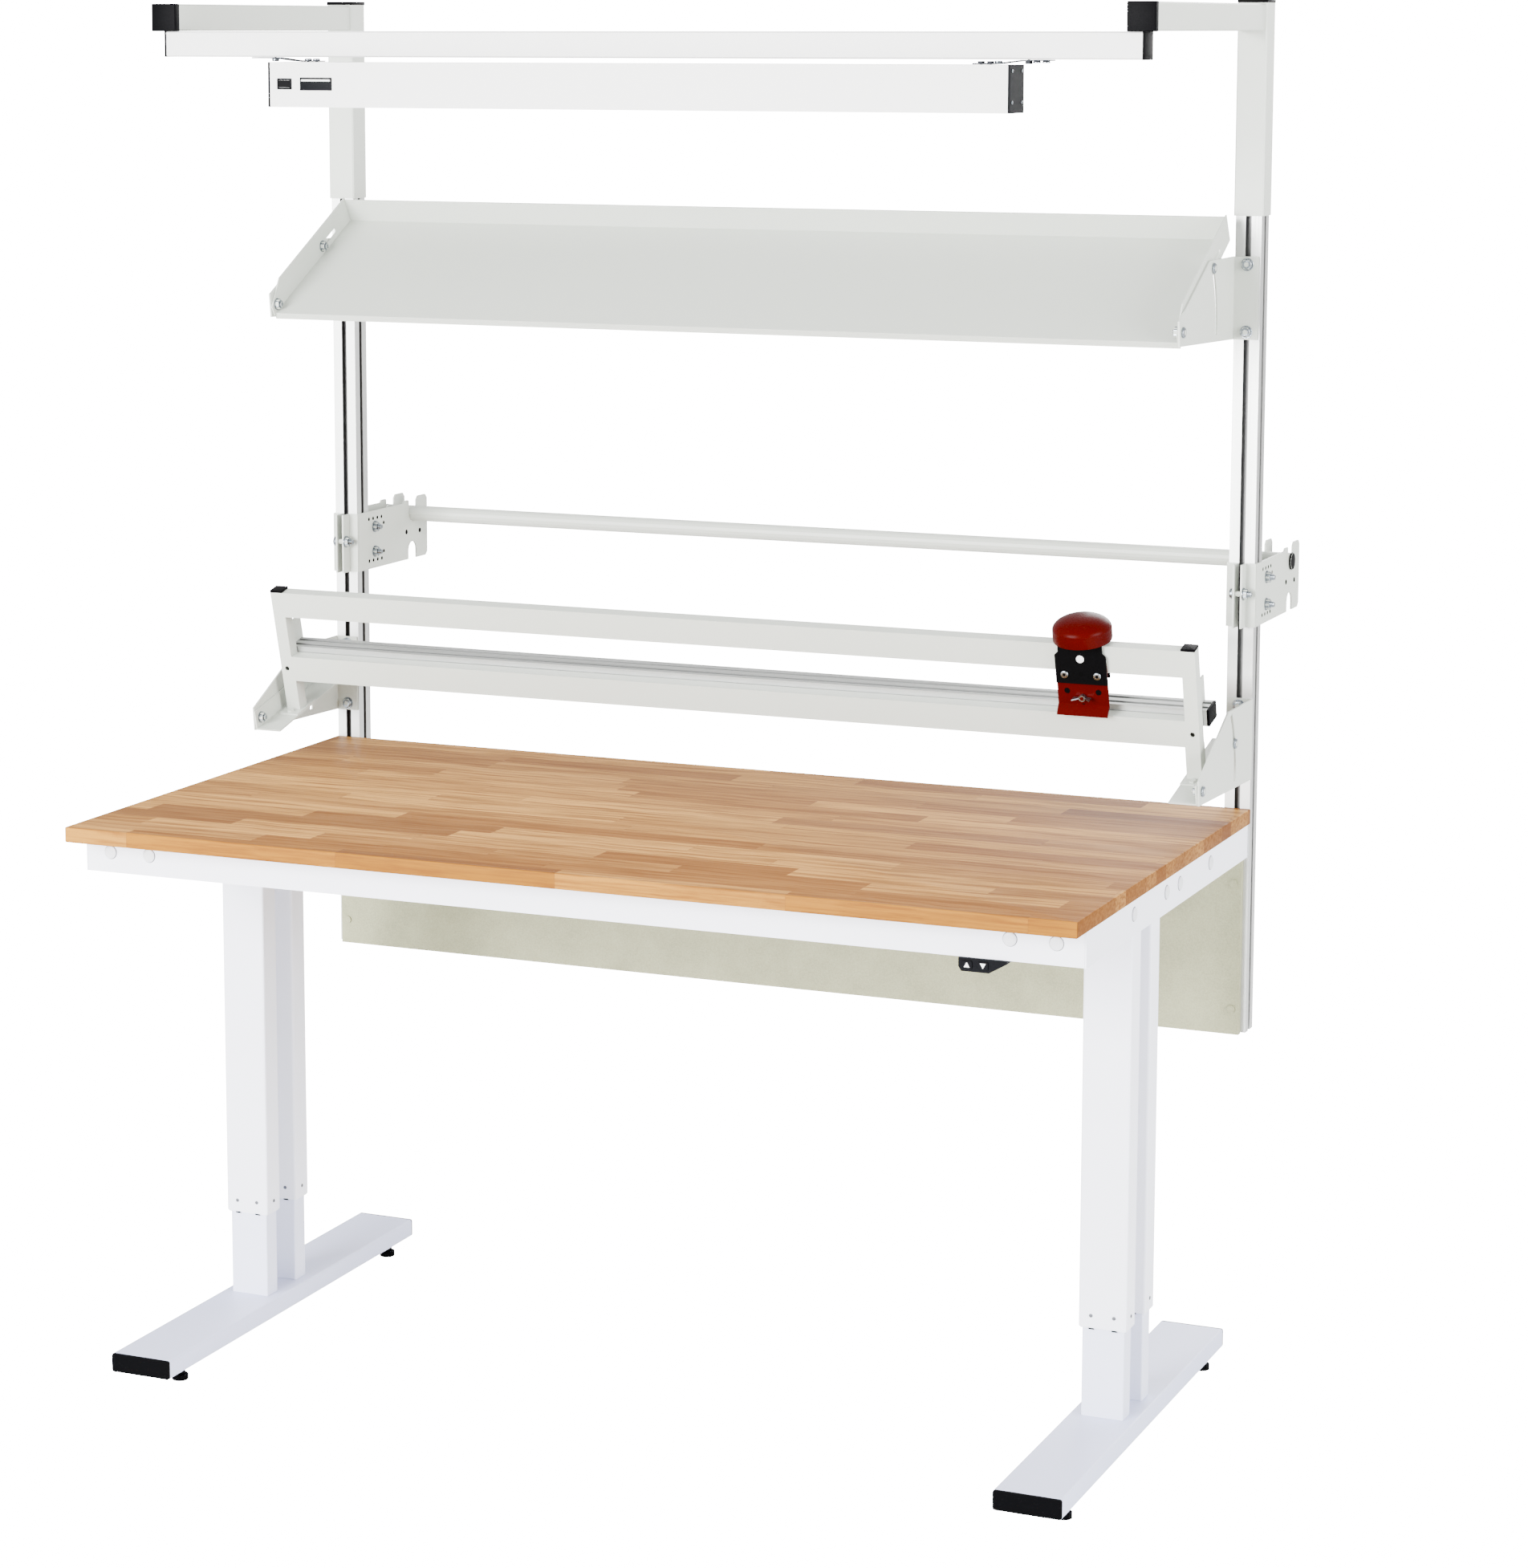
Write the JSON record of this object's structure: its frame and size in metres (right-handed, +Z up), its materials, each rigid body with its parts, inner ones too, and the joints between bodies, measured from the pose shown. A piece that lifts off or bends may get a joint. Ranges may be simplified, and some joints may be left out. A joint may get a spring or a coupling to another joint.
{
  "type": "packing table",
  "caption": "Height-adjustable packing table with a beech top, rear posts, gantry lamp, tilting shelf, paper roll rod and sliding cutter.",
  "frame": {"origin": "on the floor, under the middle of the table top's width and of the whole depth", "axes": "+X to the right along the table's width, +Y from its front to its back, +Z up"},
  "size_m": [1.5204, 1.0343, 1.989],
  "materials": {
    "white_frame_paint": "powder coat, semi-matt near-white",
    "light_grey_paint": "powder coat, satin light grey",
    "lamp_body_paint": "extruded housing painted off-white",
    "beech_board": "lacquered beech block board, satin",
    "panel_board": "board with an olive-grey laminate face",
    "anodised_aluminium": "extruded, natural anodised",
    "black_plastic": "moulded, satin black",
    "dark_grey_plastic": "moulded, dark grey",
    "drive_steel": "motor case, gearbox and spindle",
    "spring_steel": "rolled spring strip",
    "opal_diffuser": "opal acrylic strip",
    "red_plastic": "moulded, deep red, glossy",
    "zinc_plate": "zinc-plated"
  },
  "bodies": {
    "base": {"foot_left": "white_frame_paint", "foot_right": "white_frame_paint", "foot_cap_left_front": "black_plastic", "foot_cap_left_rear": "black_plastic", "foot_cap_right_front": "black_plastic", "foot_cap_right_rear": "black_plastic", "inner_column_left_front": "white_frame_paint", "inner_column_left_rear": "white_frame_paint", "inner_column_right_front": "white_frame_paint", "inner_column_right_rear": "white_frame_paint"},
    "lift": {"outer_column_left_front": "white_frame_paint", "outer_column_left_rear": "white_frame_paint", "outer_column_right_front": "white_frame_paint", "outer_column_right_rear": "white_frame_paint", "lift_drive_left_front": "drive_steel", "lift_drive_left_rear": "drive_steel", "lift_drive_right_front": "drive_steel", "lift_drive_right_rear": "drive_steel", "column_carrier_left": "white_frame_paint", "column_carrier_right": "white_frame_paint", "front_rail": "white_frame_paint", "rear_rail": "white_frame_paint", "side_rail_left": "white_frame_paint", "side_rail_right": "white_frame_paint", "work_top": "beech_board", "control_box": "dark_grey_plastic", "handset": "dark_grey_plastic", "post_left": "anodised_aluminium", "post_right": "anodised_aluminium", "modesty_panel": "panel_board", "gantry_arm_left": "light_grey_paint", "gantry_arm_right": "light_grey_paint", "cross_bar": "light_grey_paint", "lamp_housing": "lamp_body_paint", "lamp_cap_left": "dark_grey_plastic", "lamp_cap_right": "dark_grey_plastic", "lamp_diffuser": "opal_diffuser", "lamp_spring_left": "spring_steel", "lamp_spring_right": "spring_steel", "shelf_bracket_left": "light_grey_paint", "shelf_bracket_right": "light_grey_paint", "cutter_bracket_left": "light_grey_paint", "cutter_bracket_right": "light_grey_paint", "roll_holder_left": "light_grey_paint", "roll_holder_right": "light_grey_paint"},
    "button_up": {"button_up": "dark_grey_plastic"},
    "button_down": {"button_down": "dark_grey_plastic"},
    "lamp_rocker": {"lamp_rocker": "black_plastic"},
    "shelf": {"shelf_tray": "light_grey_paint"},
    "cutter": {"cutter_frame": "light_grey_paint", "slot_rail": "anodised_aluminium"},
    "cutter_head": {"head_carriage": "black_plastic", "red_grip": "red_plastic", "dome": "red_plastic"},
    "wing_nut": {"wing_nut": "zinc_plate"},
    "roll_rod": {"roll_rod": "light_grey_paint"},
    "leveller_left_front": {"leveller_left_front": "black_plastic"},
    "leveller_left_rear": {"leveller_left_rear": "black_plastic"},
    "leveller_right_front": {"leveller_right_front": "black_plastic"},
    "leveller_right_rear": {"leveller_right_rear": "black_plastic"}
  },
  "joints": [
    {"name": "lift", "type": "slide", "parent": "base", "child": "lift", "axis": [0, 0, 1], "range_m": [-0.11, 0.29]},
    {"name": "button_up_press", "type": "slide", "parent": "lift", "child": "button_up", "axis": [0, 1, 0], "range_m": [0, 0.001], "stiffness_N_per_m": 800},
    {"name": "button_down_press", "type": "slide", "parent": "lift", "child": "button_down", "axis": [0, 1, 0], "range_m": [0, 0.001], "stiffness_N_per_m": 800},
    {"name": "lamp_switch", "type": "hinge", "parent": "lift", "child": "lamp_rocker", "pos_m": [-0.5185, -0.2635, 1.8705], "axis": [0, 0, 1], "range_deg": [-10, 0]},
    {"name": "shelf_tilt", "type": "hinge", "parent": "lift", "child": "shelf", "pos_m": [0, 0.03, 1.5364], "axis": [1, 0, 0], "range_deg": [-28.5, 0]},
    {"name": "cutter_tilt", "type": "hinge", "parent": "lift", "child": "cutter", "pos_m": [0, 0.03, 0.9014], "axis": [1, 0, 0], "range_deg": [-13.5, 14]},
    {"name": "cutter_travel", "type": "slide", "parent": "cutter", "child": "cutter_head", "axis": [1, 0, 0], "range_m": [-1.233, 0.1]},
    {"name": "wing_nut_turn", "type": "hinge", "parent": "cutter_head", "child": "wing_nut", "pos_m": [0.5665, 0.0592, 1.0174], "axis": [0, 0.9681, 0.2504], "continuous": true},
    {"name": "rod_spin", "type": "hinge", "parent": "lift", "child": "roll_rod", "pos_m": [0, 0.4663, 1.16995], "axis": [1, 0, 0], "continuous": true},
    {"name": "leveller_left_front_turn", "type": "hinge", "parent": "base", "child": "leveller_left_front", "pos_m": [-0.64335, -0.4096, 0], "axis": [0, 0, 1], "continuous": true},
    {"name": "leveller_left_rear_turn", "type": "hinge", "parent": "base", "child": "leveller_left_rear", "pos_m": [-0.64335, 0.2304, 0], "axis": [0, 0, 1], "continuous": true},
    {"name": "leveller_right_front_turn", "type": "hinge", "parent": "base", "child": "leveller_right_front", "pos_m": [0.70735, -0.4096, 0], "axis": [0, 0, 1], "continuous": true},
    {"name": "leveller_right_rear_turn", "type": "hinge", "parent": "base", "child": "leveller_right_rear", "pos_m": [0.70735, 0.2304, 0], "axis": [0, 0, 1], "continuous": true}
  ]
}
